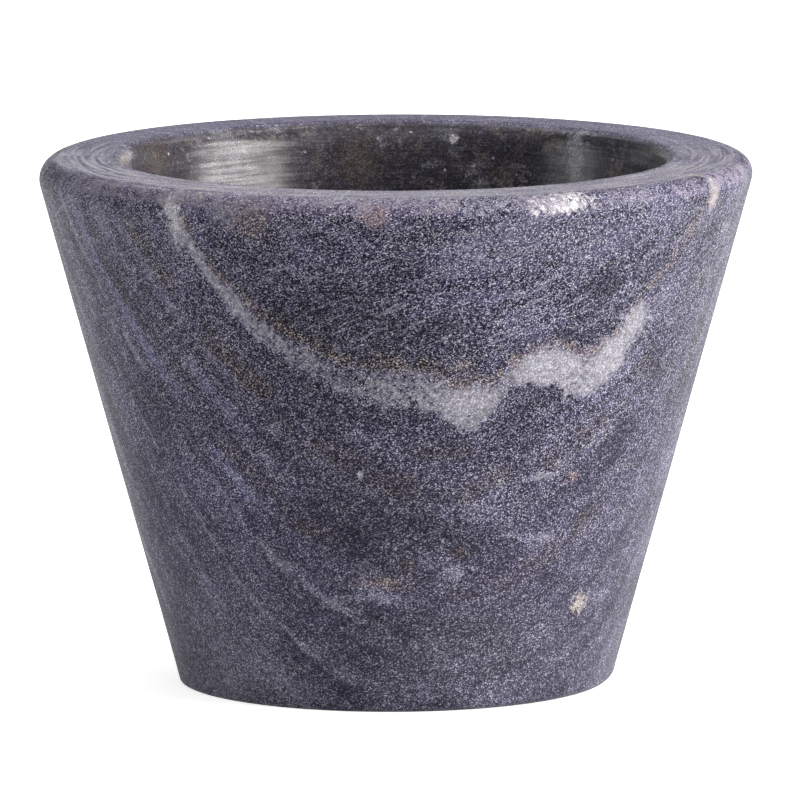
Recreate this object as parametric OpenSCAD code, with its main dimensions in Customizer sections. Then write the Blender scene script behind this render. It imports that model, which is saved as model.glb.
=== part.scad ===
// Salt cellar: an open pinch pot turned from one block of dark grey marble.
// A flaring cone stands on its narrow end. The top is cut to a broad flat rim,
// which rolls over into the wall outside and is softened into the bowl inside.
// The bowl follows the lean of the wall and ends in a large round on a flat floor.
// The origin is the middle of the underside, and the axis of turning is +Z.

/* [Overall] */
// Widest diameter, across the rolled outer edge of the rim
rim_d = 76; // [62:0.5:100]
// Height from the underside to the flat of the rim
height = 56.2; // [40:0.2:80]
// Diameter of the foot, where wall and underside would meet in a sharp corner
foot_d = 46; // [34:0.5:54]

/* [Stone] */
// Thickness of the wall, square to its face
wall_t = 9.3; // [6:0.1:11]
// Thickness of the stone under the floor of the bowl
floor_t = 10; // [5:0.5:18]

/* [Edges] */
// Radius that rolls the rim over into the outer wall
rim_round = 2.1; // [0.5:0.1:2.5]
// Radius that softens the inner edge of the rim
lip_round = 1.5; // [0.4:0.1:2]
// Radius that eases the foot, so that it doesn't chip
foot_round = 1.2; // [0.4:0.1:4]
// Radius of the round between the floor of the bowl and its wall
bowl_round = 12; // [4:0.5:16]

/* [Finish] */
// Facets around a full turn
facets = 180; // [60:12:360]

/* [Hidden] */

// How far a cutting shape runs past the face that it opens
overrun = 1;

// Honed dark marble
marble_colour = [0.31, 0.31, 0.36];

rim_r = rim_d / 2;
foot_r = foot_d / 2;

// Lean of the wall from upright: that of the line which starts at the corner of the
// foot and just touches the rolled edge of the rim
roll_run = rim_r - rim_round - foot_r;
roll_rise = height - rim_round;
lean = atan2(roll_run, roll_rise) + asin(rim_round / norm([roll_run, roll_rise]));

// The wall's thickness measured level, as it shows on the rim
level_wall = wall_t / cos(lean);

// Radius of the outer wall, if it ran on straight, at a height
function wall_r(z) = foot_r + z * tan(lean);

// Radius of the bowl's wall, if it ran on straight, at a height
function bowl_r(z) = wall_r(z) - level_wall;

// A point at a distance along either wall, up and out, from a point on it
function up_wall(point, distance) = point + distance * [sin(lean), cos(lean)];

// A level face and the leaning wall meet at one of these two angles
open_corner = 90 + lean;
tight_corner = 90 - lean;

// Distance from a corner to where a round leaves its sides
function reach(radius, corner) = radius / tan(corner / 2);

// Largest round that the floor of the bowl has room for
widest_bowl_round = bowl_r(floor_t) * tan(open_corner / 2);

// Full circle of a round, at its centre in the section
module round_at(centre, radius) {
    translate(centre)
        circle(r = radius, $fn = facets);
}

// Right half of the solid cone, with the foot eased and the rim rolled over
module cone_section() {
    foot_corner = [wall_r(0), 0];
    foot_reach = reach(foot_round, open_corner);
    foot_centre = foot_corner + [-foot_reach, foot_round];
    rim_corner = [wall_r(height), height];
    rim_reach = reach(rim_round, tight_corner);
    rim_centre = rim_corner - [rim_reach, rim_round];
    polygon([
        [0, 0],
        [foot_centre.x, 0],
        foot_centre,
        up_wall(foot_corner, foot_reach),
        up_wall(rim_corner, -rim_reach),
        rim_centre,
        [rim_centre.x, height],
        [0, height],
    ]);
    round_at(foot_centre, foot_round);
    round_at(rim_centre, rim_round);
}

// Right half of the hollow, which runs out past the rim
module bowl_section() {
    radius = min(bowl_round, widest_bowl_round);
    floor_corner = [bowl_r(floor_t), floor_t];
    floor_reach = reach(radius, open_corner);
    floor_centre = floor_corner + [-floor_reach, radius];
    polygon([
        [0, floor_t],
        [floor_centre.x, floor_t],
        floor_centre,
        up_wall(floor_corner, floor_reach),
        [bowl_r(height + overrun), height + overrun],
        [0, height + overrun],
    ]);
    round_at(floor_centre, radius);
}

// Stone that goes when the sharp inner edge of the rim is softened
module lip_sliver() {
    lip_corner = [bowl_r(height), height];
    lip_reach = reach(lip_round, open_corner);
    lip_centre = lip_corner + [lip_reach, -lip_round];
    lip_start = up_wall(lip_corner, -lip_reach);
    difference() {
        polygon([
            lip_start,
            lip_centre,
            [lip_centre.x, height + overrun],
            [lip_start.x - overrun, height + overrun],
            [lip_start.x - overrun, lip_start.y],
        ]);
        round_at(lip_centre, lip_round);
    }
}

// The cup: one piece of stone, turned inside and out
module cup() {
    color(marble_colour)
        rotate_extrude($fn = facets)
            difference() {
                cone_section();
                bowl_section();
                lip_sliver();
            }
}

cup();
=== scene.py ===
"""A salt cellar turned from one block of dark grey marble, on a pale studio floor.

The cup's section starts as six corners, which are spun into a solid. Its edges are then
eased, by amounts that vary around the cup, and it gets the marks of the turning tool and
a few chips. The marble is a solid pattern, so that every bed and vein runs unbroken
through wall, rim and bowl. The mesh is in metres, the pattern in millimetres.
"""

import logging
import math
import random
from dataclasses import dataclass, field
from enum import Enum

import bmesh
import bpy
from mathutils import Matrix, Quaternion, Vector, kdtree, noise


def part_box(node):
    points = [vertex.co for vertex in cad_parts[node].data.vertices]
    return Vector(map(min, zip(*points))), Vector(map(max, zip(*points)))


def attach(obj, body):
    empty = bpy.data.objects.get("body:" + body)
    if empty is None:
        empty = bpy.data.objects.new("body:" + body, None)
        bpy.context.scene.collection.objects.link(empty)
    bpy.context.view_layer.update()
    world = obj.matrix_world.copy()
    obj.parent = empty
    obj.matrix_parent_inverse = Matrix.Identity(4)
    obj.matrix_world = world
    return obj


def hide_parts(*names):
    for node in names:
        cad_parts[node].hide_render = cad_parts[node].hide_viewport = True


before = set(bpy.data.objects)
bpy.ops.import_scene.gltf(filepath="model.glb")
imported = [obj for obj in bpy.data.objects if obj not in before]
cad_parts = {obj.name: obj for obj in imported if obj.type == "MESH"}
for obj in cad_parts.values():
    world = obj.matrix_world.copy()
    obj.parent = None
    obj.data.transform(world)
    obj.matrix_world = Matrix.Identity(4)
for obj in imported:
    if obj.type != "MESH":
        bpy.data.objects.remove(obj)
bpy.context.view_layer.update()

MM = 0.001
log = logging.getLogger("salt_cellar")

Pair = tuple[float, float]
Colour = tuple[float, float, float]
Socket = bpy.types.NodeSocket
Plug = Socket | float | tuple


def put(name: str, data: bpy.types.ID) -> bpy.types.Object:
    """Put a new object with this data into the scene.

    Args:
        name: The object's name.
        data: Its data.

    Returns:
        The new object.
    """
    thing = bpy.data.objects.new(name, data)
    bpy.context.scene.collection.objects.link(thing)
    return thing


def put_mesh(name: str, mesh: bmesh.types.BMesh) -> bpy.types.Object:
    """Put a new object with this mesh into the scene, and free the bmesh.

    Args:
        name: The object's name.
        mesh: Its shape.

    Returns:
        The new object.
    """
    data = bpy.data.meshes.new(name)
    mesh.to_mesh(data)
    mesh.free()
    return put(name, data)


class Face(Enum):
    """The faces of the section, in the order in which its outline meets them."""

    UNDERSIDE = "underside"
    WALL = "wall"
    RIM = "rim"
    BOWL = "bowl"
    FLOOR = "floor"


@dataclass(frozen=True)
class Corner:
    """A corner of the section and the round that eases it.

    The round's radius swings around the cup: `radius` on average, `side_swing` more
    towards +X and `back_swing` more towards +Y.
    """

    radius: float
    side_swing: float = 0.0
    back_swing: float = 0.0

    def radius_at(self, angle: float) -> float:
        """Give the radius of the round at an angle from +X about the axis, in radians."""
        back = max(0.0, math.sin(angle)) ** 2
        return self.radius + self.side_swing * math.cos(angle) + self.back_swing * back


@dataclass(frozen=True)
class Chip:
    """A small flake missing from an edge of the cup.

    `azimuth` is measured from the front (-Y) towards +X, in degrees. `torn` says how
    ragged its outline is, `steepness` how sharply it drops, and `reach` how far out, in
    widths, vertices may move.
    """

    azimuth: float
    height: float
    width: float
    tall: float
    depth: float
    reach: float = 2.5
    torn: float = 0.35
    tears_per_mm: float = 1.4
    steepness: float = 1.6

    def centre(self, radius: float) -> Vector:
        """Give the middle of the flake, on a surface of this radius."""
        turn = math.radians(self.azimuth)
        return Vector((radius * math.sin(turn), -radius * math.cos(turn), self.height))


@dataclass(frozen=True)
class Handwork:
    """The unevenness that finishing by hand leaves, and the tool's rings in the bowl.

    Swells, ripples and rings are counted per mm. All of it fades out over `margin` at the
    foot, and the rings also at the rim.
    """

    depth: float = 0.05 * MM
    swells: float = 0.07
    ripples: float = 0.35
    ripple_share: float = 0.3
    ring_depth: float = 0.035 * MM
    rings: float = 0.9
    ring_place: Pair = (4.0, 9.0)
    finer: float = 2.3
    finer_share: float = 0.5
    margin: float = 2.0 * MM
    rim_level: float = 0.05 * MM
    rim_share: float = 0.35

    def taken(self, place: Vector) -> float:
        """Give how deep the surface is taken in at a place, which is in mm.

        Args:
            place: The place, in mm.

        Returns:
            The depth in metres.
        """
        swell = 0.5 + 0.5 * noise.noise(place * self.swells)
        ripple = 0.5 + 0.5 * noise.noise(place * self.ripples)
        return self.depth * swell + self.ripple_share * self.depth * ripple

    def ring(self, height: float) -> float:
        """Give how deep the tool cut into the bowl at a height, which is in mm.

        Args:
            height: The height, in mm.

        Returns:
            The depth in metres.
        """
        pitch = Vector((height * self.rings, *self.ring_place))
        finer = self.finer_share * noise.noise(pitch * self.finer)
        return self.ring_depth * (noise.noise(pitch) + finer)

    def within(self, distance: float) -> float:
        """Give 0 at an edge and 1 from the margin on."""
        return min(1.0, max(0.0, distance / self.margin))


@dataclass
class TurnedCup:
    """The cup: one stone, turned inside and out.

    All sizes are in metres; the widest radius and the height come from the frame.
    `rim_roll` is the sharpest that the rolled edge of the rim gets, so that the cup stays
    within its widest radius. `fine`, `medium` and `coarse` are the spacing of the mesh,
    which is fine within `guard` of an edge. Points closer than `touch` count as one.
    """

    rim_radius: float
    height: float
    foot_radius: float = 23.0 * MM
    wall: float = 9.3 * MM
    floor: float = 10.0 * MM
    rim_roll: float = 1.8 * MM
    foot_edge: Corner = Corner(1.0 * MM, side_swing=0.7 * MM)
    rim_edge: Corner = Corner(2.1 * MM, side_swing=-0.3 * MM)
    lip_edge: Corner = Corner(1.4 * MM, side_swing=-0.2 * MM, back_swing=2.2 * MM)
    bowl_edge: Corner = Corner(12.0 * MM)
    turns: int = 256
    fine: float = 0.17 * MM
    medium: float = 0.42 * MM
    coarse: float = 0.75 * MM
    touch: float = 0.001 * MM
    guard: float = 4.2 * MM
    handwork: Handwork = Handwork()
    chips: list[Chip] = field(default_factory=list)

    def __post_init__(self) -> None:
        """Work out the lean of the wall: it just touches the rolled edge of the rim."""
        run = self.rim_radius - self.rim_roll - self.foot_radius
        rise = self.height - self.rim_roll
        self.lean = math.atan2(run, rise) + math.asin(self.rim_roll / math.hypot(run, rise))

    def wall_radius(self, height: float) -> float:
        """Give the radius of the outer wall at a height, as if it ran on straight."""
        return self.foot_radius + height * math.tan(self.lean)

    def bowl_radius(self, height: float) -> float:
        """Give the radius of the bowl's wall at a height, as if it ran on straight."""
        return self.wall_radius(height) - self.wall / math.cos(self.lean)

    def corners(self) -> list[Vector]:
        """Give the corners of the section, from the axis below to the axis above.

        Returns:
            Each corner's distance from the axis and its height.
        """
        return [
            Vector((0.0, 0.0)),
            Vector((self.foot_radius, 0.0)),
            Vector((self.wall_radius(self.height), self.height)),
            Vector((self.bowl_radius(self.height), self.height)),
            Vector((self.bowl_radius(self.floor), self.floor)),
            Vector((0.0, self.floor)),
        ]

    def section(self) -> bmesh.types.BMesh:
        """Draw the section as a wire in the XZ plane, with close stations near the edges.

        Returns:
            A bmesh that holds the wire.
        """
        corners = self.corners()
        spacing = {
            Face.UNDERSIDE: self.coarse * 2,
            Face.WALL: self.coarse,
            Face.RIM: self.fine * 2,
            Face.BOWL: self.medium,
            Face.FLOOR: self.coarse,
        }
        mesh = bmesh.new()
        cuts = mesh.edges.layers.int.new("cuts")
        last = mesh.verts.new((corners[0].x, 0.0, corners[0].y))
        for face, start, end in zip(Face, corners, corners[1:]):
            along = (end - start).normalized()
            stations = [(end, spacing[face])]
            if face in (Face.UNDERSIDE, Face.WALL, Face.BOWL):
                stations = [(end - along * self.guard, spacing[face]), (end, self.fine)]
            if face in (Face.WALL, Face.BOWL):
                stations.insert(0, (start + along * self.guard, self.fine))
            here = start
            for station, step in stations:
                vert = mesh.verts.new((station.x, 0.0, station.y))
                edge = mesh.edges.new((last, vert))
                edge[cuts] = max(0, round((station - here).length / step) - 1)
                last, here = vert, station
        for count in sorted({edge[cuts] for edge in mesh.edges} - {0}):
            alike = [edge for edge in mesh.edges if edge[cuts] == count]
            bmesh.ops.subdivide_edges(mesh, edges=alike, cuts=count)
        return mesh

    def ease(self, mesh: bmesh.types.BMesh, index: int, edge: Corner) -> None:
        """Draw the stone at one corner of the section in onto a round.

        Args:
            mesh: The spun cup.
            index: Which of the section's corners is eased.
            edge: The radius of the round and how it varies around the cup.
        """
        corners = self.corners()
        corner = corners[index]
        before = (corners[index - 1] - corner).normalized()
        after = (corners[index + 1] - corner).normalized()
        half = before.angle(after) / 2
        towards = (before + after).normalized()
        for vert in mesh.verts:
            offset = Vector((math.hypot(vert.co.x, vert.co.y), vert.co.z)) - corner
            side = before if abs(offset.cross(before)) < abs(offset.cross(after)) else after
            if abs(offset.cross(side)) > self.touch or offset.dot(side) < -self.touch:
                continue
            turn = math.atan2(vert.co.y, vert.co.x)
            radius = edge.radius_at(turn)
            if offset.dot(side) > radius / math.tan(half):
                continue
            centre = towards * (radius / math.sin(half))
            eased = corner + centre + (offset - centre).normalized() * radius
            vert.co = (eased.x * math.cos(turn), eased.x * math.sin(turn), eased.y)

    def hone(self, mesh: bmesh.types.BMesh) -> None:
        """Give the surface the small unevenness of a thing finished by hand.

        The outside is only ever taken in, so that the cup keeps its largest size.

        Args:
            mesh: The spun and eased cup.
        """
        mesh.normal_update()
        hand = self.handwork
        moves = []
        middle_wall = self.wall / 2 / math.cos(self.lean)
        for vert in mesh.verts:
            height = vert.co.z
            place = vert.co / MM
            depth = hand.taken(place)
            inner = math.hypot(vert.co.x, vert.co.y) < self.wall_radius(height) - middle_wall
            if inner and height > self.floor / 2:
                depth += hand.ring(place.z) * hand.within(self.height - height)
            if abs(height - self.height) < hand.rim_level:
                depth *= hand.rim_share
            moves.append((vert, vert.normal * (-depth * hand.within(height))))
        for vert, move in moves:
            vert.co += move

    def flake(self, mesh: bmesh.types.BMesh) -> None:
        """Knock the chips out of the edges.

        Args:
            mesh: The honed cup.
        """
        mesh.normal_update()
        mesh.verts.ensure_lookup_table()
        finder = kdtree.KDTree(len(mesh.verts))
        for vert in mesh.verts:
            finder.insert(vert.co, vert.index)
        finder.balance()
        for chip in self.chips:
            centre = chip.centre(min(self.rim_radius, self.wall_radius(chip.height)))
            turn = math.radians(chip.azimuth)
            along = Vector((math.cos(turn), math.sin(turn), 0.0))
            reach = chip.reach * max(chip.width, chip.tall)
            for _, index, _ in finder.find_range(centre, reach):
                vert = mesh.verts[index]
                offset = vert.co - centre
                across = offset.dot(along) / chip.width
                upright = offset.z / chip.tall
                ragged = chip.torn * noise.noise(vert.co / MM * chip.tears_per_mm)
                inside = 1.0 - math.hypot(across, upright) + ragged
                if inside > 0.0:
                    drop = min(1.0, inside * chip.steepness)
                    vert.co -= vert.normal * chip.depth * drop

    def build(self) -> bpy.types.Object:
        """Spin the section, finish the stone, and give the cup's object.

        Returns:
            The cup's object, at the origin, with its place in its mesh.
        """
        mesh = self.section()
        bmesh.ops.spin(
            mesh,
            geom=mesh.verts[:] + mesh.edges[:],
            cent=(0.0, 0.0, 0.0),
            axis=(0.0, 0.0, 1.0),
            angle=math.tau,
            steps=self.turns,
            use_merge=True,
            use_duplicate=False,
        )
        bmesh.ops.remove_doubles(mesh, verts=mesh.verts, dist=self.touch)
        bmesh.ops.recalc_face_normals(mesh, faces=mesh.faces)
        edges = (self.foot_edge, self.rim_edge, self.lip_edge, self.bowl_edge)
        for index, edge in enumerate(edges, 1):
            self.ease(mesh, index, edge)
        log.info("turned: %d faces and %d chips", len(mesh.faces), len(self.chips))
        self.hone(mesh)
        self.flake(mesh)
        for face in mesh.faces:
            face.smooth = True
        return put_mesh("marble_cup", mesh)


@dataclass(frozen=True)
class Cloud:
    """A soft noise: how many swells per mm, how finely they break up, and how roughly."""

    scale: float
    detail: float = 2.0
    roughness: float = 0.5


@dataclass(frozen=True)
class Ramp:
    """A change from low to high while a reading goes from start to end.

    Start may be the larger of the two. Beyond them the value stays as it is.
    """

    start: float
    end: float
    low: float = 0.0
    high: float = 1.0


class Wiring:
    """Adds the nodes of one tree and joins them up."""

    def __init__(self, tree: bpy.types.NodeTree) -> None:
        """Start on an emptied tree."""
        self.tree = tree
        tree.nodes.clear()

    def add(self, kind: str, plugs: dict | None = None, **settings: object) -> bpy.types.Node:
        """Add a node. Its plugs are values or other nodes' outputs, by name or number.

        Args:
            kind: The node's type.
            plugs: What goes into its inputs, by name or number: a value or an output.
            **settings: The node's own properties.

        Returns:
            The new node.
        """
        node = self.tree.nodes.new(kind)
        for name, value in settings.items():
            setattr(node, name, value)
        for key, value in (plugs or {}).items():
            if isinstance(value, Socket):
                self.tree.links.new(value, node.inputs[key])
            else:
                node.inputs[key].default_value = value
        return node

    def maths(self, operation: str, *values: Plug) -> Socket:
        """Add a step of arithmetic and give its result."""
        plugs = dict(enumerate(values))
        return self.add("ShaderNodeMath", plugs, operation=operation).outputs[0]

    def vector(self, operation: str, *values: Plug, output: str = "Vector") -> Socket:
        """Add a step of vector arithmetic and give its vector, or its value."""
        plugs = dict(enumerate(values))
        return self.add("ShaderNodeVectorMath", plugs, operation=operation).outputs[output]

    def times(self, first: Plug, *others: Plug) -> Socket:
        """Give the product of all the values.

        Args:
            first: A value.
            *others: What it is multiplied by, in this order.

        Returns:
            The product.
        """
        for other in others:
            first = self.maths("MULTIPLY", first, other)
        return first

    def most(self, first: Plug, *others: Plug) -> Socket:
        """Give the largest of the values.

        Args:
            first: A value.
            *others: What it is compared with, in this order.

        Returns:
            The largest.
        """
        for other in others:
            first = self.maths("MAXIMUM", first, other)
        return first

    def nudged(self, value: Plug, noise: Plug, amount: float) -> Socket:
        """Move a value by how far a noise lies from its middle, times an amount."""
        off = self.maths("SUBTRACT", noise, 0.5)
        return self.maths("MULTIPLY_ADD", off, amount, value)

    def scaled(self, vector: Plug, scale: Plug) -> Socket:
        """Give a vector times a number."""
        plugs = {0: vector, "Scale": scale}
        return self.add("ShaderNodeVectorMath", plugs, operation="SCALE").outputs[0]

    def dot(self, first: Plug, second: Plug) -> Socket:
        """Give the dot product of two vectors."""
        return self.vector("DOT_PRODUCT", first, second, output="Value")

    def combined(self, *values: Plug) -> Socket:
        """Give the vector of up to three values."""
        return self.add("ShaderNodeCombineXYZ", dict(enumerate(values))).outputs[0]

    def split(self, colour: Plug) -> bpy.types.NodeOutputs:
        """Give the red, green and blue of a colour."""
        return self.add("ShaderNodeSeparateColor", {0: colour}).outputs

    def ranged(self, value: Plug, ramp: Ramp, **settings: object) -> Socket:
        """Carry a value straight along a ramp.

        Args:
            value: The reading.
            ramp: The ramp.
            **settings: Properties of the node.

        Returns:
            The value on the ramp.
        """
        plugs = {
            "Value": value,
            "From Min": ramp.start,
            "From Max": ramp.end,
            "To Min": ramp.low,
            "To Max": ramp.high,
        }
        return self.add("ShaderNodeMapRange", plugs, **settings).outputs["Result"]

    def fade(self, value: Plug, ramp: Ramp) -> Socket:
        """Carry a value along a ramp, eased at both of its ends."""
        return self.ranged(value, ramp, interpolation_type="SMOOTHSTEP")

    def noise(self, cloud: Cloud, plugs: dict, sides: str = "3D") -> bpy.types.Node:
        """Add a soft noise, from one to three dimensions; its outputs are Fac and Color."""
        form = {"Scale": cloud.scale, "Detail": cloud.detail, "Roughness": cloud.roughness}
        return self.add("ShaderNodeTexNoise", {**plugs, **form}, noise_dimensions=sides)

    def stripes(self, along: Plug, cloud: Cloud) -> Socket:
        """Give a noise that changes along one coordinate only."""
        return self.noise(cloud, {"W": along}, "1D").outputs["Fac"]

    def grains(self, at: Plug, scale: float) -> bpy.types.Node:
        """Add a pattern of separate crystals; Color is a random tone for each."""
        return self.add("ShaderNodeTexVoronoi", {"Vector": at, "Scale": scale})

    def mixed(self, factor: Plug, first: Plug, second: Plug) -> Socket:
        """Blend two colours. A Mix node's colours are its inputs 6 and 7 and output 2."""
        plugs = {0: factor, 6: opaque(first), 7: opaque(second)}
        return self.add("ShaderNodeMix", plugs, data_type="RGBA").outputs[2]

    def between(self, factor: Plug, first: Plug, second: Plug) -> Socket:
        """Blend two numbers."""
        return self.add("ShaderNodeMix", {0: factor, 2: first, 3: second}).outputs[0]

    def curve(self, value: Plug, points: tuple) -> Socket:
        """Read a smooth curve through given points, which run from 0 to 1 both ways.

        Args:
            value: The reading.
            points: The curve's points, from left to right.

        Returns:
            The value on the curve.
        """
        node = self.add("ShaderNodeFloatCurve", {"Value": value})
        line = node.mapping.curves[0]
        line.points[0].location = points[0]
        line.points[-1].location = points[-1]
        for point in points[1:-1]:
            line.points.new(*point)
        node.mapping.update()
        return node.outputs[0]


def opaque(colour: Plug) -> Plug:
    """Give a colour its fourth channel; a node's output passes as it is.

    Args:
        colour: A colour, or a node's output.

    Returns:
        The colour with four channels, or the output.
    """
    if isinstance(colour, tuple) and len(colour) == 3:
        return (*colour, 1.0)
    return colour


SNOW = (0.62, 0.60, 0.65)
WHITE = (0.345, 0.335, 0.383)
PALE = (0.235, 0.23, 0.272)
CREAM = (0.50, 0.45, 0.42)
TAN = (0.185, 0.145, 0.122)
BROWN = (0.080, 0.060, 0.050)
BLUE = (0.185, 0.19, 0.265)
ROSE = (0.27, 0.19, 0.18)
INK = (0.02, 0.018, 0.025)
UMBER = (0.026, 0.016, 0.018)
PLAIN = (1.0, 1.0, 1.0)


@dataclass(frozen=True)
class Zones:
    """Where bowl and rim lie on the cup, the tool's streaks, and how the stone is bedded.

    `normal` points across the beds, which swell and ripple.
    """

    bowl_behind: Ramp = Ramp(5.5, 7)
    bowl_below: Ramp = Ramp(0.03, 0.5)
    bowl_above: Ramp = Ramp(5, 8)
    fray: Cloud = Cloud(1.3, 3, 0.7)
    frayed: float = 1.1
    rim_below: Ramp = Ramp(0.42, 0.12)
    rim_outside: Ramp = Ramp(1.6, 2.6)
    rim_inside: Ramp = Ramp(9.4, 7.4)
    mean_radius: float = 33.0
    streak_along: float = 0.12
    streak_across: float = 2.2
    streaks: Cloud = Cloud(1, 3, 0.6)
    normal: tuple[float, float, float] = (0.20, -0.90, 0.38)
    swell: Cloud = Cloud(0.055, 1)
    swell_height: float = 2.0
    ripple: Cloud = Cloud(0.45, 3, 0.6)
    ripple_height: float = 1.3


class Spot(Wiring):
    """The wiring of the stone, and what it knows of a point on the cup, in mm.

    `radius` is the point's distance from the axis and `behind` how far it lies inside the
    wall's face. `below` is its depth under the rim, with a frayed edge. `turn` is the way
    around the cup. `turned` is the pattern of the tool's streaks. `in_bowl` and `on_rim`
    are 1 there and 0 elsewhere. `bed` is how far along the beds' `normal` the point lies,
    with their waves.
    """

    def __init__(self, tree: bpy.types.NodeTree, shape: TurnedCup, zones: Zones) -> None:
        """Work out where on a cup of this shape the point lies.

        Args:
            tree: The material's node tree.
            shape: The sizes of the cup.
            zones: Where its bowl and rim lie, and how the stone is bedded.
        """
        super().__init__(tree)
        self.at = self.scaled(self.add("ShaderNodeTexCoord").outputs["Object"], 1.0 / MM)
        x, y, z = self.add("ShaderNodeSeparateXYZ", {0: self.at}).outputs
        self.x, self.y, self.z = x, y, z
        self.radius = self.maths("SQRT", self.maths("ADD", self.times(x, x), self.times(y, y)))
        face = self.maths("MULTIPLY_ADD", z, math.tan(shape.lean), shape.foot_radius / MM)
        self.behind = self.maths("SUBTRACT", face, self.radius)
        below = self.maths("SUBTRACT", shape.height / MM, z)
        self.below = self.nudged(below, self.cloud(zones.fray), zones.frayed)
        self.in_bowl = self.times(
            self.fade(self.behind, zones.bowl_behind),
            self.fade(below, zones.bowl_below),
            self.fade(z, zones.bowl_above),
        )
        self.on_rim = self.times(
            self.fade(self.below, zones.rim_below),
            self.fade(self.behind, zones.rim_outside),
            self.fade(self.behind, zones.rim_inside),
        )
        self.turn = self.times(self.maths("ARCTAN2", y, x), zones.mean_radius)
        wiped = self.combined(
            self.times(self.turn, zones.streak_along),
            self.times(self.maths("ADD", z, self.radius), zones.streak_across),
        )
        self.turned = self.cloud(zones.streaks, wiped)
        self.normal = Vector(zones.normal).normalized()
        bed = self.dot(self.at, tuple(self.normal))
        bed = self.nudged(bed, self.cloud(zones.swell), zones.swell_height)
        self.bed = self.nudged(bed, self.cloud(zones.ripple), zones.ripple_height)

    def cloud(self, cloud: Cloud, at: Plug | None = None, sides: str = "3D") -> Socket:
        """Give a soft noise around one half, at the point or elsewhere."""
        plugs = {"Vector": self.at if at is None else at}
        return self.noise(cloud, plugs, sides).outputs["Fac"]


@dataclass(frozen=True)
class Ground:
    """The dark ground of the stone: soft clouds, and fine lines drawn out along the beds."""

    dark: Colour = (0.042, 0.039, 0.060)
    light: Colour = (0.125, 0.119, 0.161)
    drawn_out: float = 0.14
    lines: Cloud = Cloud(0.75, 4, 0.62)
    lines_share: float = 0.6
    clouds: Cloud = Cloud(0.13, 4, 0.6)
    clouds_share: float = 0.5
    lightens: Ramp = Ramp(0.38, 0.76)
    cool: Cloud = Cloud(0.3, 3, 0.6)
    cools: Ramp = Ramp(0.52, 0.72)
    coolness: float = 0.22

    def mix(self, spot: Spot) -> Plug:
        """Mix the ground's colour.

        Args:
            spot: The point on the cup.

        Returns:
            The ground's colour there.
        """
        side = spot.normal.orthogonal().normalized()
        up = spot.normal.cross(side)
        stretched = spot.combined(
            spot.bed,
            spot.times(spot.dot(spot.at, tuple(side)), self.drawn_out),
            spot.times(spot.dot(spot.at, tuple(up)), self.drawn_out),
        )
        tone = spot.maths(
            "ADD",
            spot.times(spot.cloud(self.lines, stretched), self.lines_share),
            spot.times(spot.cloud(self.clouds), self.clouds_share),
        )
        ground = spot.mixed(spot.fade(tone, self.lightens), self.dark, self.light)
        cool = spot.fade(spot.cloud(self.cool), self.cools)
        return spot.mixed(spot.times(cool, self.coolness), ground, BLUE)


@dataclass(frozen=True)
class Mottle:
    """The smoother bowl's deeper tones and plain clouds; its all-over darkening is partly painted
    shade.
    """

    clouds: Cloud = Cloud(0.85, 6, 0.72)
    streaked: float = 0.45
    stains: Cloud = Cloud(0.3, 4, 0.65)
    # share of the bowl's all-over darkening: partly polished stone, partly painted shade
    shade_and_polish: float = 0.44
    deepens: Ramp = Ramp(0.61, 0.45)
    depth: float = 0.88
    browns: Ramp = Ramp(0.50, 0.68)
    brownness: float = 0.36
    pales: Ramp = Ramp(0.54, 0.68)
    between_clouds: Ramp = Ramp(0.46, 0.60)
    paleness: float = 0.62

    def lay(self, spot: Spot, colour: Plug) -> Plug:
        """Lay the tones of the bowl over the ground.

        Args:
            spot: The point on the cup.
            colour: The stone's colour so far.

        Returns:
            The colour with the bowl's tones.
        """
        clouds = spot.nudged(spot.cloud(self.clouds), spot.turned, self.streaked)
        warm, pale, _ = spot.split(spot.noise(self.stains, {"Vector": spot.at}).outputs["Color"])
        # darker all over in the bowl: partly the polished stone, partly painted shade in the
        # hollow
        colour = spot.mixed(spot.times(spot.in_bowl, self.shade_and_polish), colour, UMBER)
        deep = spot.times(spot.fade(clouds, self.deepens), spot.in_bowl, self.depth)
        colour = spot.mixed(deep, colour, INK)
        brown = spot.times(spot.fade(warm, self.browns), spot.in_bowl, self.brownness)
        colour = spot.mixed(brown, colour, TAN)
        light = spot.times(spot.fade(pale, self.pales), spot.in_bowl)
        light = spot.times(light, spot.fade(clouds, self.between_clouds), self.paleness)
        return spot.mixed(light, colour, PALE)


@dataclass(frozen=True)
class Gaps:
    """The gaps in a bed or stain: how many patches per mm, and how much of it is missing."""

    patches: float
    missing: float
    detail: float = 3.0
    roughness: float = 0.6
    least: float = 0.36
    spread: float = 0.28
    edge: Pair = (-0.07, 0.09)

    def shows(self, spot: Spot) -> Plug:
        """Give 1 where the bed shows and 0 where it is missing.

        Args:
            spot: The point on the cup.

        Returns:
            The share that shows.
        """
        cloud = spot.cloud(Cloud(self.patches, self.detail, self.roughness))
        middle = self.least + self.spread * self.missing
        return spot.fade(cloud, Ramp(middle + self.edge[0], middle + self.edge[1]))


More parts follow.
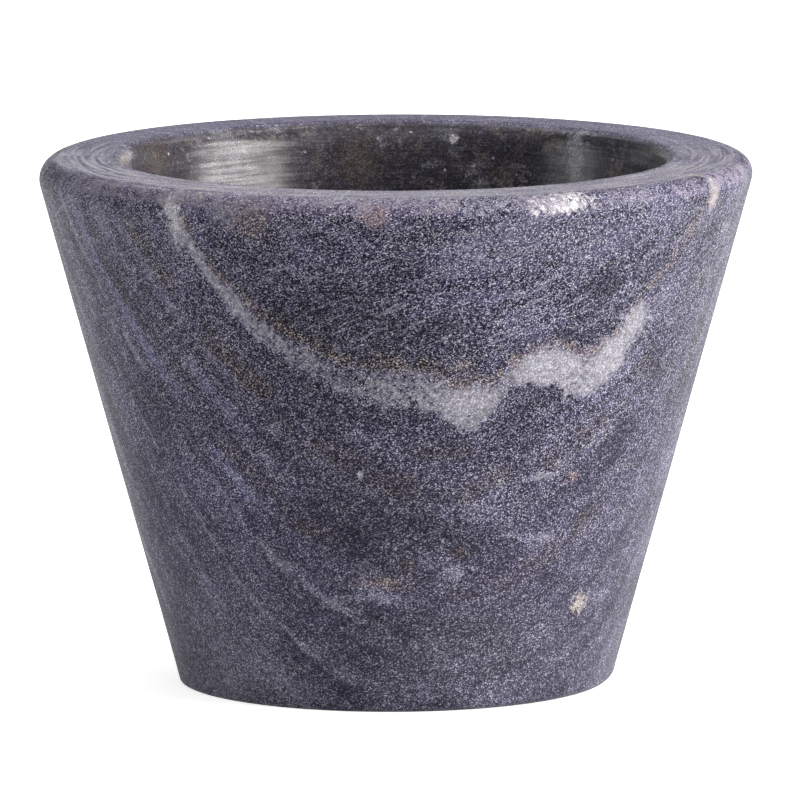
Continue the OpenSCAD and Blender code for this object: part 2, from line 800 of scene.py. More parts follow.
@dataclass(frozen=True)
class Bed:
    """A thin bed of other stone that runs right through the block.

    `place` is how far along the beds' normal it lies and `half_width` half of its
    thickness, in mm. `patches` and `missing` are those of its gaps. Towards +X it thins
    out around `until`, if that is given.
    """

    place: float
    half_width: float
    softness: float
    tint: Colour
    strength: float
    patches: float
    missing: float
    until: float | None = None
    core: float = 0.5
    thinning: Pair = (8.0, -6.0)

    def lay(self, spot: Spot, colour: Plug) -> Plug:
        """Lay the bed over the stone's colour.

        Args:
            spot: The point on the cup.
            colour: The stone's colour so far.

        Returns:
            The colour with the bed.
        """
        away = spot.maths("ABSOLUTE", spot.maths("SUBTRACT", spot.bed, self.place))
        edge = Ramp(self.half_width + self.softness, self.half_width * self.core)
        line = spot.fade(away, edge)
        shows = Gaps(self.patches, self.missing).shows(spot)
        factor = spot.times(line, shows, self.strength)
        if self.until is not None:
            outer, inner = self.thinning
            ends = Ramp(self.until + outer, self.until + inner)
            factor = spot.times(factor, spot.fade(spot.x, ends))
        return spot.mixed(factor, colour, self.tint)


@dataclass(frozen=True)
class Blotch:
    """A local stain, dark patch, pale cluster or painted shade, in mm about a place in the stone.

    `ragged` says how torn its edge is, and `cloudy` how much it thins inside.
    """

    centre: tuple[float, float, float]
    size: tuple[float, float, float]
    tint: Colour
    strength: float
    ragged: float = 0.6
    cloudy: float = 0.5
    tears: Cloud = Cloud(1.5, 5, 0.7)
    tearing: float = 4.0
    edge: Ramp = Ramp(1.25, 0.45)
    clouds: Cloud = Cloud(2.1, 3, 0.65)
    thins: Pair = (0.36, 0.58)

    def lay(self, spot: Spot, colour: Plug) -> Plug:
        """Lay the blotch over the stone's colour.

        Args:
            spot: The point on the cup.
            colour: The stone's colour so far.

        Returns:
            The colour with the blotch.
        """
        offset = spot.vector("SUBTRACT", spot.at, self.centre)
        offset = spot.vector("DIVIDE", offset, self.size)
        reach = spot.vector("LENGTH", offset, output="Value")
        torn = spot.nudged(reach, spot.cloud(self.tears), self.ragged * self.tearing)
        inside = Ramp(*self.thins, 1.0 - self.cloudy, 1)
        cloudy = spot.ranged(spot.cloud(self.clouds), inside)
        factor = spot.times(spot.fade(torn, self.edge), self.strength, cloudy)
        return spot.mixed(factor, colour, self.tint)


@dataclass(frozen=True)
class Vein:
    """The main vein, which wanders, thickens and fades from left to right, in mm.

    Each list holds given pairs of x and a value: the vein's shift along the beds'
    normal, half of its thickness, and its strength.
    """

    place: float = 42.6
    shift: tuple = ((-26, 1.6), (-22, 0.0), (-15, -1.0), (-8, -0.6), (0, 0.6), (4, 1.0),
                    (7, 0.1), (10, 0.15), (12, 1.35), (18, 0.2), (22, -1.5), (26, -0.2), (33, 0.4))
    half_width: tuple = ((-26, 0.6), (-22, 0.5), (-16, 0.7), (-9, 0.95), (-5, 0.8), (-1, 1.0),
                         (5, 1.0), (8, 1.2), (11, 0.6), (15, 1.2), (20, 1.5), (25, 0.8),
                         (29, 0.25), (34, 0.3))
    strength: tuple = ((-26, 1.0), (-22, 1.0), (-18, 0.85), (-10, 0.88), (-6, 0.8), (-2, 0.9),
                       (3, 0.85), (7, 0.9), (11, 0.6), (14, 0.95), (22, 0.9), (26, 0.45),
                       (29, 0.15), (33, 0.8))
    widest_shift: float = 2.0
    widest_half: float = 2.0
    tears: Cloud = Cloud(1.1, 5, 0.7)
    tearing: float = 2.4
    edge: Ramp = Ramp(0.45, -0.35)
    clouds: Cloud = Cloud(1.5, 4, 0.68)
    cloudy: Ramp = Ramp(0.34, 0.60, 0.25, 1)
    whitens: Ramp = Ramp(0.35, 0.9)
    stain_off: float = 0.55
    stain_edge: Ramp = Ramp(0.6, 0.1)
    stain_side: Ramp = Ramp(0, 0.3)
    stain_gaps: Gaps = Gaps(0.45, 0.25)
    stain_strength: float = 0.62

    def along_x(self, spot: Spot, pairs: tuple, low: float, high: float) -> Plug:
        """Read one of the listed curves, whose values lie from low to high, at a point.

        Args:
            spot: The point on the cup.
            pairs: The list of x and value.
            low: The least value that the curve may give.
            high: The greatest.

        Returns:
            The value there.
        """
        left, right = pairs[0][0], pairs[-1][0]
        points = tuple(
            ((px - left) / (right - left), (value - low) / (high - low)) for px, value in pairs
        )
        read = spot.curve(spot.ranged(spot.x, Ramp(left, right)), points)
        return spot.maths("MULTIPLY_ADD", read, high - low, low)

    def lay(self, spot: Spot, colour: Plug) -> Plug:
        """Lay the vein, with its stained upper edge, over the stone's colour.

        Args:
            spot: The point on the cup.
            colour: The stone's colour so far.

        Returns:
            The colour with the vein.
        """
        shift = self.along_x(spot, self.shift, -self.widest_shift, self.widest_shift)
        half = self.along_x(spot, self.half_width, 0.0, self.widest_half)
        strength = self.along_x(spot, self.strength, 0.0, 1.0)
        off = spot.maths("SUBTRACT", spot.maths("SUBTRACT", spot.bed, self.place), shift)
        away = spot.maths("SUBTRACT", spot.maths("ABSOLUTE", off), half)
        away = spot.nudged(away, spot.cloud(self.tears), self.tearing)
        clouds = spot.ranged(spot.cloud(self.clouds), self.cloudy)
        body = spot.times(spot.fade(away, self.edge), clouds)
        stain_away = spot.maths("ABSOLUTE", spot.maths("SUBTRACT", away, self.stain_off))
        stain = spot.times(
            spot.fade(stain_away, self.stain_edge),
            spot.fade(off, self.stain_side),
            self.stain_gaps.shows(spot),
            self.stain_strength,
        )
        colour = spot.mixed(stain, colour, TAN)
        tint = spot.mixed(spot.fade(strength, self.whitens), PALE, WHITE)
        return spot.mixed(spot.times(body, strength), colour, tint)


@dataclass(frozen=True)
class RimSheenAndStreaks:
    """Painted sheen on the flat of the rim, more at the front, and on its rolled edge; and the
    tool's streaks.
    """

    # painted sheen: the paler tint of the rim's flat and of its rolled edge
    painted_sheen_tint: Colour = (0.258, 0.225, 0.285)
    # painted sheen on the rim's flat, strongest towards the front (-Y)
    rim: Ramp = Ramp(20, -10, 0.18, 0.40)
    roll_below: Ramp = Ramp(2, 1.1)
    roll_behind: Ramp = Ramp(3.2, 1.6)
    sheen_clouds: Cloud = Cloud(0.1)
    sheen_cover: Ramp = Ramp(0.38, 0.52)
    sugar: Cloud = Cloud(0.9, 4, 0.7)
    sugary: Ramp = Ramp(0.38, 0.62, 0.06, 0.92)
    streaked: Ramp = Ramp(0.54, 0.36)
    streak_depth: float = 0.6

    def lay(self, spot: Spot, colour: Plug) -> Plug:
        """Lay the painted sheen and the tool's streaks over the stone's colour.

        Args:
            spot: The point on the cup.
            colour: The stone's colour so far.

        Returns:
            The colour with the painted sheen and the streaks.
        """
        # painted sheen: the rolled edge, in patches, and the rim's flat, more at the front, are
        # tinted paler
        roll_sheen = spot.times(
            spot.fade(spot.below, self.roll_below),
            spot.fade(spot.behind, self.roll_behind),
            spot.fade(spot.cloud(self.sheen_clouds), self.sheen_cover),
            spot.ranged(spot.cloud(self.sugar), self.sugary),
        )
        rim = spot.times(spot.on_rim, spot.ranged(spot.y, self.rim))
        colour = spot.mixed(spot.most(rim, roll_sheen), colour, self.painted_sheen_tint)
        streak = spot.times(spot.on_rim, spot.fade(spot.turned, self.streaked))
        return spot.mixed(spot.times(streak, self.streak_depth), colour, INK)


@dataclass(frozen=True)
class Scratches:
    """Short pale scratches that climb around the outside of the wall; slope in degrees."""

    slope: float = 24.0
    per_mm: float = 0.22
    lines_per_mm: float = 2.6
    noise: Cloud = Cloud(1, 3, 0.7)
    line: Ramp = Ramp(0.57, 0.67)
    groups: Cloud = Cloud(0.35, 1)
    grouped: Ramp = Ramp(0.42, 0.6)
    higher: Ramp = Ramp(30, 44)
    higher_strength: float = 0.62
    strength: float = 0.14

    def lay(self, spot: Spot, colour: Plug) -> Plug:
        """Draw the scratches over the stone's colour.

        Args:
            spot: The point on the cup.
            colour: The stone's colour so far.

        Returns:
            The colour with the scratches.
        """
        level, steep = math.cos(math.radians(self.slope)), math.sin(math.radians(self.slope))
        along = spot.maths("MULTIPLY_ADD", spot.z, steep, spot.times(spot.turn, level))
        across = spot.maths("MULTIPLY_ADD", spot.turn, -steep, spot.times(spot.z, level))
        drawn = spot.combined(
            spot.times(along, self.per_mm), spot.times(across, self.lines_per_mm)
        )
        lines = spot.fade(spot.cloud(self.noise, drawn, "2D"), self.line)
        groups = spot.fade(spot.cloud(self.groups, drawn), self.grouped)
        height = spot.fade(spot.z, self.higher)
        strength = spot.maths("MULTIPLY_ADD", height, self.higher_strength, self.strength)
        outside = spot.maths("SUBTRACT", 1.0, spot.in_bowl)
        return spot.mixed(spot.times(lines, groups, strength, outside), colour, PALE)


@dataclass(frozen=True)
class Flecks:
    """Tiny dark pits and pale crystals, so many per mm each way."""

    per_mm: float = 0.55
    edge: Ramp = Ramp(0.13, 0.06)
    dark: Ramp = Ramp(0.64, 0.60)
    dark_strength: float = 0.85
    pale: Ramp = Ramp(0.64, 0.68)
    pale_strength: float = 0.75

    def lay(self, spot: Spot, colour: Plug) -> Plug:
        """Scatter the flecks over the stone's colour.

        Args:
            spot: The point on the cup.
            colour: The stone's colour so far.

        Returns:
            The colour with the flecks.
        """
        cells = spot.grains(spot.at, self.per_mm).outputs
        here = spot.fade(cells["Distance"], self.edge)
        kind = spot.split(cells["Color"])[0]
        dark = spot.times(here, spot.fade(kind, self.dark), self.dark_strength)
        pale = spot.times(here, spot.fade(kind, self.pale), self.pale_strength)
        return spot.mixed(pale, spot.mixed(dark, colour, INK), WHITE)


@dataclass(frozen=True)
class Crystals:
    """The grain of the stone: strong where it is dark, faint in the veins and the bowl.

    Crystals are a little shorter along the line that climbs by `climb` degrees. Each has
    a tone from 0 to 1, which `brightest`, `power` and `darkest` turn into its brightness.
    The brightest crystals outside the bowl also get a painted glint.
    """

    per_mm: float = 11.2
    climb: float = 22.0
    stretch: float = 0.72
    power: float = 5.0
    brightest: float = 6.65
    darkest: float = 0.02
    pale: Ramp = Ramp(0.07, 0.20)
    calm_pale: float = 0.75
    calm_bowl: float = 0.65
    calm_rim: float = 0.4
    calm_low: Ramp = Ramp(36, 8, 0, 0.36)
    sugar: Cloud = Cloud(2, 4, 0.7)
    sugary: Ramp = Ramp(0.34, 0.66, 0.66, 1.34)
    warm: Colour = (1.05, 1.0, 0.93)
    cool: Colour = (0.95, 1.0, 1.08)
    brightens: Ramp = Ramp(0.45, 0.85)
    dark_tint: Colour = (1.12, 1.0, 2.0)
    bright_tint: Colour = (0.96, 1.0, 0.88)
    low_evens: float = 2.2
    # painted glint: the brightest crystals are blended towards near-white
    glint: Colour = (0.55, 0.54, 0.56)
    glints: Ramp = Ramp(0.93, 1)
    glint_strength: float = 0.34

    def lay(self, spot: Spot, colour: Plug) -> Plug:
        """Break the stone's colour into crystals.

        Args:
            spot: The point on the cup.
            colour: The stone's colour so far.

        Returns:
            The colour with the crystals.
        """
        climb = math.radians(self.climb)
        along = (math.cos(climb), 0.0, math.sin(climb))
        pull = spot.times(spot.dot(spot.at, along), self.stretch - 1.0)
        drawn = spot.vector("ADD", spot.at, spot.scaled(along, pull))
        tone, tint, _ = spot.split(spot.grains(drawn, self.per_mm).outputs["Color"])
        bright = spot.maths("POWER", tone, self.power)
        sparkle = spot.maths("MULTIPLY_ADD", bright, self.brightest, self.darkest)
        pale = spot.fade(spot.split(colour)[1], self.pale)
        low = spot.ranged(spot.z, self.calm_low)
        calm = spot.most(
            spot.times(pale, self.calm_pale),
            spot.times(spot.in_bowl, self.calm_bowl),
            spot.times(spot.on_rim, self.calm_rim),
            low,
        )
        sugar = spot.ranged(spot.cloud(self.sugar), self.sugary)
        gain = spot.between(calm, sparkle, sugar)
        shade = spot.mixed(tint, self.warm, self.cool)
        depth = spot.mixed(spot.fade(tone, self.brightens), self.dark_tint, self.bright_tint)
        even = spot.most(pale, spot.in_bowl, spot.times(low, self.low_evens))
        shade = spot.vector("MULTIPLY", shade, spot.mixed(even, depth, PLAIN))
        stone = spot.scaled(spot.vector("MULTIPLY", colour, shade), gain)
        # painted glint on the brightest crystals, outside the bowl
        glint = spot.times(spot.fade(tone, self.glints), self.glint_strength)
        glint = spot.times(glint, spot.maths("SUBTRACT", 1.0, spot.in_bowl))
        return spot.mixed(glint, stone, self.glint)


@dataclass(frozen=True)
class Finish:
    """How smooth and glossy the stone is, and the marks on it.

    The coat of shine follows the tool's streaks. In the bowl it also changes from left to
    right, and on the rim from back to front. Marks are heights, in units of `mark`.
    """

    honed: float = 0.42
    polished: float = 0.27
    ior: float = 1.5
    specular: float = 0.06
    coat_rough: float = 0.24
    bowl_streaks: Ramp = Ramp(0.36, 0.66, 0.28, 0.78)
    bowl_left: Ramp = Ramp(-13, -3, 1, 0.30)
    bowl_right: Ramp = Ramp(4, 22, 0, 0.45)
    rim_forward: Ramp = Ramp(20, -10, 0.14, 0.62)
    rim_streaks: Ramp = Ramp(0.35, 0.65, 0.1, 2)
    mark: float = 0.10 * MM
    grains_per_mm: float = 11.2
    bowl_rings: Cloud = Cloud(2.2, 4)
    bowl_ring: float = 1.2
    rim_rings: Cloud = Cloud(2.6, 3)
    rim_ring: float = 0.6

    def shine(self, spot: Spot) -> Plug:
        """Give the weight of the coat.

        Args:
            spot: The point on the cup.

        Returns:
            The coat's weight.
        """
        across = spot.maths(
            "ADD", spot.ranged(spot.x, self.bowl_left), spot.ranged(spot.x, self.bowl_right)
        )
        bowl = spot.times(spot.in_bowl, spot.ranged(spot.turned, self.bowl_streaks), across)
        rim = spot.times(spot.ranged(spot.y, self.rim_forward), spot.on_rim)
        rim = spot.times(rim, spot.ranged(spot.turned, self.rim_streaks))
        return spot.maths("ADD", bowl, rim)

    def marks(self, spot: Spot) -> Plug:
        """Give the height of the surface's fine marks: grain, and the tool's rings.

        Args:
            spot: The point on the cup.

        Returns:
            The height, in units of `mark`.
        """
        height = spot.grains(spot.at, self.grains_per_mm).outputs["Distance"]
        bowl = spot.times(spot.stripes(spot.z, self.bowl_rings), spot.in_bowl)
        height = spot.maths("MULTIPLY_ADD", bowl, self.bowl_ring, height)
        rim = spot.times(spot.stripes(spot.radius, self.rim_rings), spot.on_rim)
        return spot.maths("MULTIPLY_ADD", rim, self.rim_ring, height)

    def skin(self, spot: Spot, colour: Plug) -> Plug:
        """Give the finished surface in its colour.

        Args:
            spot: The point on the cup.
            colour: The stone's colour.

        Returns:
            The shader.
        """
        bump = spot.add(
            "ShaderNodeBump",
            {"Height": self.marks(spot), "Distance": self.mark, "Strength": 1.0},
        )
        plugs = {
            "Base Color": colour,
            "Roughness": spot.between(spot.in_bowl, self.honed, self.polished),
            "IOR": self.ior,
            "Specular IOR Level": self.specular,
            "Coat Weight": self.shine(spot),
            "Coat Roughness": self.coat_rough,
            "Normal": bump.outputs["Normal"],
        }
        return spot.add("ShaderNodeBsdfPrincipled", plugs).outputs[0]


# each row: place, half width, softness, tint, strength, patches, missing and until
BEDS = tuple(Bed(*row) for row in (
    (37, 0.5, 1.2, BROWN, 0.45, 0.22, 0.55),
    (35.6, 0.3, 0.8, PALE, 0.4, 0.22, 0.6),
    (33, 0.3, 1, PALE, 0.34, 0.16, 0.45, 2),
    (30.2, 0.4, 1.1, BROWN, 0.4, 0.16, 0.55),
    (28.6, 0.3, 0.8, BLUE, 0.55, 0.16, 0.45, 4),
    (26.2, 0.2, 0.5, PALE, 0.6, 0.16, 0.35, 3),
    (21.3, 0.12, 0.3, PALE, 0.55, 0.22, 0.40, 0),
    (17.3, 0.2, 0.5, BLUE, 0.5, 0.22, 0.45, -4),
    (11, 0.2, 0.9, PALE, 0.35, 0.16, 0.5, -4),
    (5.6, 0.35, 0.7, PALE, 0.55, 0.12, 0.45),
    (-3, 0.3, 1.2, PALE, 0.45, 0.12, 0.5),
    (-9.5, 0.15, 0.6, BROWN, 0.5, 0.16, 0.5),
    (-13, 0.9, 0.7, WHITE, 0.75, 0.12, 0.45),
    (-20, 0.1, 0.4, PALE, 0.6, 0.16, 0.45),
    (-24.5, 0.5, 1, BLUE, 0.5, 0.12, 0.45),
    (-31, 0.2, 0.5, CREAM, 0.6, 0.12, 0.5),
))
# each row: centre, size, tint, strength, ragged and cloudy
BLOTCHES = tuple(Blotch(*row) for row in (
    ((-4.2, -28, 23), (9.5, 10, 8), INK, 0.58),
    ((6.2, -27.8, 19.8), (5.2, 4, 2.6), INK, 0.46, 0.8),
    ((3, -25, 8), (9, 10, 6), INK, 0.38),
    ((-4.8, -34, 39.6), (11, 9, 8), INK, 0.56),
    ((-18.5, -17, 8.5), (9, 12, 9), PALE, 0.24),
    ((-16, -17, 2.2), (8.5, 10, 5.4), PALE, 0.46),
    ((13.5, -33.5, 51.8), (11, 6, 4.6), PALE, 0.28, 0.8),
    ((0, -20, 53.6), (48, 48, 5), PALE, 0.17, 0.5),
    ((10, -22, 7), (7, 8, 6), PALE, 0.15, 0.8),
    ((10.5, -27.5, 25), (6, 6, 5), PALE, 0.14, 0.8),
    ((17.6, -33.9, 55.3), (3.5, 4, 1.1), SNOW, 0.9, 1, 0.15),
    ((25, -29.5, 55.2), (3.6, 4, 0.9), PALE, 0.6, 1),
    ((33.4, -17.8, 54.4), (0.6, 1.4, 2.4), CREAM, 0.55, 0.5),
    ((31.2, -17.4, 56.2), (2.6, 0.6, 0.4), CREAM, 0.45, 0.5),
    ((9.5, -36.6, 55.4), (4, 3, 0.8), PALE, 0.5, 1.2),
    ((-1, -38, 55.8), (9, 3, 0.6), PALE, 0.5, 1),
    ((15.4, -25.9, 25.5), (2.4, 2, 0.5), PALE, 0.75),
    ((15.5, -23.6, 18.7), (1.6, 2, 0.5), PALE, 0.75),
    ((12, -25.7, 19.3), (1.5, 2, 0.5), PALE, 0.6),
    ((14.5, -27, 20.9), (1.2, 2, 0.4), PALE, 0.6),
    # painted shade: the next two dark patches, on the back and the left of the bowl's wall
    ((-3.5, 27, 48.5), (9, 5, 9.5), INK, 0.86, 0.8),
    ((-25, 12, 51.5), (5, 9, 6), INK, 0.8, 0.9),
    ((-3.8, 26.9, 52.5), (2.2, 3, 3.2), BROWN, 0.55, 1.1),
    ((-25.5, 12, 54.5), (2.2, 5, 2.5), BROWN, 0.55, 1.1),
    ((-28.4, 2, 55.9), (0.8, 6, 1), CREAM, 0.45, 1.1),
    ((6.3, 27.8, 54.5), (0.5, 1.4, 0.6), SNOW, 0.7, 0.7),
    ((-2.2, -38, 54.6), (1.5, 2.4, 1.2), ROSE, 0.75, 0.9, 0.3),
    ((-15.2, -34.8, 53.8), (2.4, 2.6, 2.2), TAN, 0.7, 0.8),
    ((-17.8, -34, 54.4), (2.2, 2.6, 1.8), PALE, 0.7, 0.8),
    ((-23.7, -30.3, 54.8), (1.2, 2.4, 1.8), SNOW, 0.65, 0.6, 0.4),
    ((-22.9, -30.4, 52.2), (0.9, 2.2, 3), SNOW, 0.55, 0.7, 0.5),
    ((-21.6, -31, 56.1), (3, 1.1, 0.6), CREAM, 0.9, 0.5),
    ((-3.7, -30.1, 26.4), (0.35, 0.8, 0.4), WHITE, 0.9),
    ((-6.6, -30.4, 29.2), (0.2, 0.5, 0.2), WHITE, 0.8),
    ((5.5, -30.4, 28.6), (3.6, 2, 0.7), BROWN, 0.4),
    ((1, -27.5, 16.3), (1.2, 2, 0.9), BROWN, 0.6),
    ((6.6, -27.1, 17.6), (0.9, 2, 0.9), BROWN, 0.7),
    ((7, -32.8, 38.2), (1.6, 2, 0.8), TAN, 0.5),
    ((-19.6, -28.2, 40.9), (1.3, 2, 1.8), BROWN, 0.4),
    ((18.6, -23.6, 25.2), (0.7, 1.5, 0.7), ROSE, 0.5),
    ((19.3, -17.3, 10.8), (1, 1.4, 1.1), CREAM, 0.85, 0.9),
    ((21.3, -14.4, 11.2), (1.4, 1.8, 0.8), PALE, 0.6, 0.9),
    ((8.3, -31.5, 34.4), (3, 2, 1.5), WHITE, 0.8, 0.9),
    ((15.5, -29.6, 37.5), (4, 2.4, 1.7), WHITE, 0.8, 0.8),
    ((22.8, -24.8, 38), (2.2, 2.2, 2.6), WHITE, 0.8, 0.7),
    ((25.5, -24, 41.6), (2, 2.5, 2.2), WHITE, 0.8, 0.8),
    ((5.8, -26.6, 15.1), (1.5, 2, 1.1), PALE, 0.7, 0.9),
    ((-1.3, -26.9, 14.4), (3, 2, 0.9), TAN, 0.55, 1),
    ((-2.8, -26.5, 12.7), (4.2, 2, 0.5), PALE, 0.6, 0.9),
    ((-22.1, -25, 37.1), (0.35, 1, 0.7), PALE, 0.8),
    ((19.4, 20.6, 53), (1.1, 2.5, 5), PALE, 0.75, 1),
    ((1.8, -32.5, 34.2), (0.3, 0.8, 0.3), INK, 0.8),
))


@dataclass(frozen=True)
class Marble:
    """Dark grey marble with parallel beds, solid all the way through.

    Its colour is laid in layers, from the ground up. Colours are linear.
    """

    name: str = "dark_marble"
    zones: Zones = Zones()
    ground: Ground = Ground()
    mottle: Mottle = Mottle()
    beds: tuple[Bed, ...] = BEDS
    vein: Vein = Vein()
    blotches: tuple[Blotch, ...] = BLOTCHES
    # painted sheen on the rim and its rolled edge, and the tool's streaks
    rim_sheen_and_streaks: RimSheenAndStreaks = RimSheenAndStreaks()
    scratches: Scratches = Scratches()
    flecks: Flecks = Flecks()
    crystals: Crystals = Crystals()
    finish: Finish = Finish()

    def dress(self, cup: bpy.types.Object, shape: TurnedCup) -> None:
        """Give the cup its stone.

        Args:
            cup: The cup's object.
            shape: The sizes of the cup, which say where wall, rim and bowl are.
        """
        material = bpy.data.materials.new(self.name)
        material.use_nodes = True
        spot = Spot(material.node_tree, shape, self.zones)
        colour = self.ground.mix(spot)
        marks = (self.rim_sheen_and_streaks, self.scratches, self.flecks, self.crystals)
        for layer in (self.mottle, *self.beds, self.vein, *self.blotches, *marks):
            colour = layer.lay(spot, colour)
        skin = self.finish.skin(spot, colour)
        out = spot.add("ShaderNodeOutputMaterial", {"Surface": skin})
        out.is_active_output = True
        cup.data.materials.append(material)
        log.info("dressed: %d beds and %d blotches", len(self.beds), len(self.blotches))


@dataclass(frozen=True)
class Softbox:
    """A lamp that faces the cup. Angles in degrees, lengths in metres.

    `azimuth` is measured from the front (-Y) towards +X.
    """

    name: str
    azimuth: float
    elevation: float
    distance: float
    width: float
    height: float
    watts: float
    tint: Colour = (1.0, 1.0, 1.0)


@dataclass(frozen=True)
class Studio:
    """The floor, the light and the camera.

    The camera's numbers were read off the outline of the cup in the picture: its
    elevation and roll in degrees, and the pixel at which the middle of the cup's axis
    lies. `horizon` is how high above the floor reflections still see white.
    """

    floor_size: float = 12.0
    floor_colour: Colour = (0.86, 0.86, 0.87)
    floor_lift: float = 0.72
    sky: float = 0.10
    horizon: Ramp = Ramp(0.36, 0.1)
    camera_distance: float = 1.5
    camera_elevation: float = 8.18
    camera_roll: float = -0.094
    pixels_per_metre: float = 9398.0
    picture_pixels: float = 800.0
    centre_pixel: Pair = (395.35, 417.05)
    sensor: float = 36.0
    clip: Pair = (0.01, 50.0)
    lamps: tuple[Softbox, ...] = (
        Softbox("key", 77.0, 28.0, 1.0, 0.8, 0.7, 24.0, (1.0, 0.985, 0.945)),
        Softbox("top", 25.0, 76.0, 1.0, 0.7, 0.7, 4.0),
        Softbox("back", 165.0, 50.0, 1.0, 1.2, 0.6, 3.8),
        Softbox("left", -88.0, 18.0, 1.0, 0.4, 0.6, 3.3),
    )

    def build(self, target: Vector) -> None:
        """Set up the whole studio around a target, the middle of the cup's axis.

        Args:
            target: What the lamps and the camera face.
        """
        self.lay_floor()
        self.light_sky()
        for lamp in self.lamps:
            self.hang(lamp, target)
        self.place_camera(target)
        bpy.context.scene.view_settings.view_transform = "Standard"

    def lay_floor(self) -> None:
        """Lay a pale floor, which looks a little lighter than it is lit."""
        mesh = bmesh.new()
        bmesh.ops.create_grid(mesh, x_segments=1, y_segments=1, size=self.floor_size / 2)
        floor = put_mesh("floor", mesh)
        material = bpy.data.materials.new("pale_floor")
        material.use_nodes = True
        shop = Wiring(material.node_tree)
        path = shop.add("ShaderNodeLightPath").outputs
        seen = shop.most(
            path["Is Camera Ray"], path["Is Glossy Ray"], path["Is Transmission Ray"]
        )
        matt = shop.add("ShaderNodeBsdfDiffuse", {"Color": opaque(self.floor_colour)})
        glow = shop.add("ShaderNodeEmission", {"Strength": shop.times(seen, self.floor_lift)})
        both = shop.add("ShaderNodeAddShader", {0: matt.outputs[0], 1: glow.outputs[0]})
        shop.add("ShaderNodeOutputMaterial", {"Surface": both.outputs[0]})
        floor.data.materials.append(material)

    def light_sky(self) -> None:
        """Light the scene a little from all round, in front of a white backdrop.

        Reflections see the white only near the horizon.
        """
        world = bpy.data.worlds.new("studio")
        bpy.context.scene.world = world
        world.use_nodes = True
        shop = Wiring(world.node_tree)
        path = shop.add("ShaderNodeLightPath").outputs
        skyward = shop.add("ShaderNodeTexCoord").outputs["Generated"]
        height = shop.add("ShaderNodeSeparateXYZ", {0: skyward}).outputs[2]
        low = shop.times(shop.fade(height, self.horizon), path["Is Glossy Ray"])
        white = shop.most(path["Is Camera Ray"], low, path["Is Transmission Ray"])
        strength = shop.between(white, self.sky, 1.0)
        back = shop.add("ShaderNodeBackground", {"Strength": strength})
        shop.add("ShaderNodeOutputWorld", {"Surface": back.outputs[0]})

    def hang(self, lamp: Softbox, target: Vector) -> None:
        """Hang one lamp and turn it to the cup.

        Args:
            lamp: The lamp.
            target: What it faces.
        """
        turn, lift = math.radians(lamp.azimuth), math.radians(lamp.elevation)
        away = Vector((
            math.sin(turn) * math.cos(lift),
            -math.cos(turn) * math.cos(lift),
            math.sin(lift),
        ))
        data = bpy.data.lights.new(lamp.name, "AREA")
        data.shape = "RECTANGLE"
        data.size = lamp.width
        data.size_y = lamp.height
        data.energy = lamp.watts
        data.color = lamp.tint
        light = put(lamp.name, data)
        light.location = target + away * lamp.distance
        light.rotation_mode = "QUATERNION"
        light.rotation_quaternion = away.to_track_quat("Z", "Y")

    def place_camera(self, target: Vector) -> None:
        """Stand the camera at the picture's angle and frame the cup as it does.

        Args:
            target: The middle of the cup's axis.
        """
        lift = math.radians(self.camera_elevation)
        back = Vector((0.0, -math.cos(lift), math.sin(lift)))
        up = Vector((0.0, math.sin(lift), math.cos(lift)))
        middle = self.picture_pixels / 2
        right_by = (middle - self.centre_pixel[0]) / self.pixels_per_metre
        up_by = (self.centre_pixel[1] - middle) / self.pixels_per_metre
        aim = target + Vector((right_by, 0.0, 0.0)) + up * up_by
        data = bpy.data.cameras.new("camera")
        data.sensor_width = self.sensor
        width = self.picture_pixels / self.pixels_per_metre
        data.lens = self.sensor * self.camera_distance / width
        data.clip_start, data.clip_end = self.clip
        camera = put("camera", data)
        camera.location = target + back * self.camera_distance
        look = (camera.location - aim).to_track_quat("Z", "Y")
        roll = Quaternion((0.0, 0.0, 1.0), math.radians(self.camera_roll))
        camera.rotation_mode = "QUATERNION"
        camera.rotation_quaternion = look @ roll
        bpy.context.scene.camera = camera


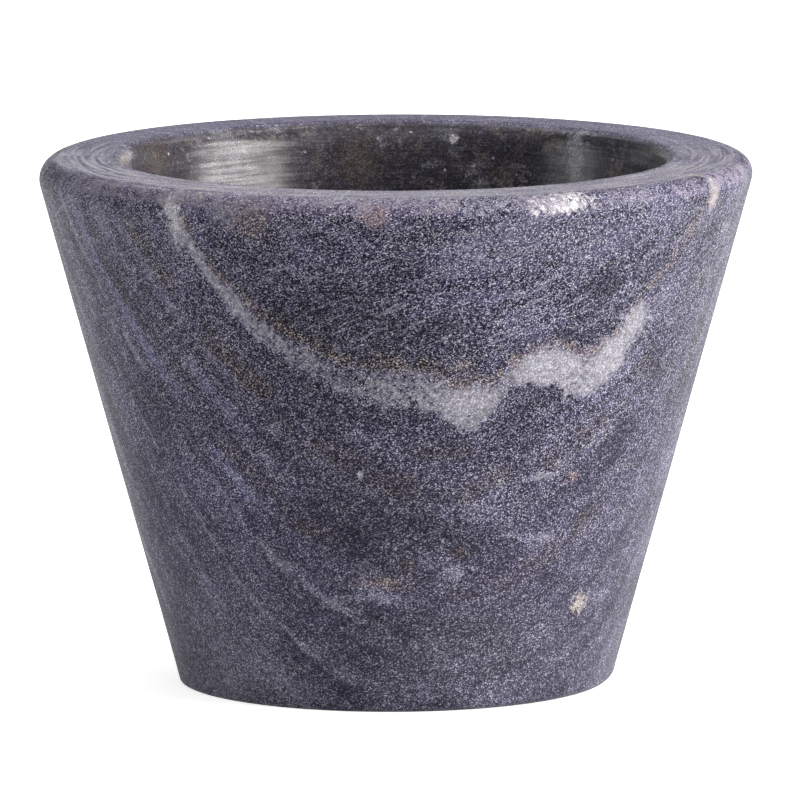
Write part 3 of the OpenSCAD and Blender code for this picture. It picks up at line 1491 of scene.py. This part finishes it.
@dataclass(frozen=True)
class Chipping:
    """Small chips scattered along one edge. Each pair is the least and the most of a draw.

    Heights and widths are in mm, and the other two are shares of a chip's width.
    """

    count: int
    height: Pair
    width: Pair
    tall: Pair
    depth: Pair

    def scatter(self, draw: random.Random) -> list[Chip]:
        """Draw the chips, all the way around the cup.

        Args:
            draw: The source of random numbers.

        Returns:
            The chips.
        """
        chips = []
        for _ in range(self.count):
            width = drawn(draw, self.width) * MM
            azimuth = draw.uniform(-180.0, 180.0)
            height = drawn(draw, self.height) * MM
            tall = width * drawn(draw, self.tall)
            depth = width * drawn(draw, self.depth)
            chips.append(Chip(azimuth, height, width, tall, depth))
        return chips


def drawn(draw: random.Random, ends: Pair) -> float:
    """Draw a value between two ends; equal ends take no draw."""
    low, high = ends
    return low if low == high else draw.uniform(low, high)


PLAIN_CHIPS = (
    Chip(-52.0, 55.3 * MM, 1.4 * MM, 0.35 * MM, 0.25 * MM),
    Chip(-46.0, 55.2 * MM, 1.1 * MM, 0.3 * MM, 0.2 * MM),
)
RIM_CHIPPING = Chipping(26, (53.6, 55.8), (0.4, 1.2), (0.35, 0.7), (0.1, 0.2))
FOOT_CHIPPING = Chipping(9, (0.5, 1.2), (0.4, 1.0), (0.5, 0.5), (0.15, 0.15))
CHIP_SEED = 11


def all_chips() -> list[Chip]:
    """Give every chip: the two plain ones at the left of the front, and the scattered."""
    draw = random.Random(CHIP_SEED)
    return [*PLAIN_CHIPS, *RIM_CHIPPING.scatter(draw), *FOOT_CHIPPING.scatter(draw)]


def main() -> None:
    """Build the cup, dress it, and set up the studio round it."""
    logging.basicConfig(level=logging.INFO, format="%(name)s: %(message)s")
    low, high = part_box("cup")
    shape = TurnedCup(rim_radius=min(high[0], -low[0]), height=high[2], chips=all_chips())
    cup = shape.build()
    Marble().dress(cup, shape)
    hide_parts("cup")
    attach(cup, "root")
    log.info("marble_cup: %d faces", len(cup.data.polygons))
    Studio().build(Vector((0.0, 0.0, shape.height / 2)))


if __name__ == "__main__":
    main()
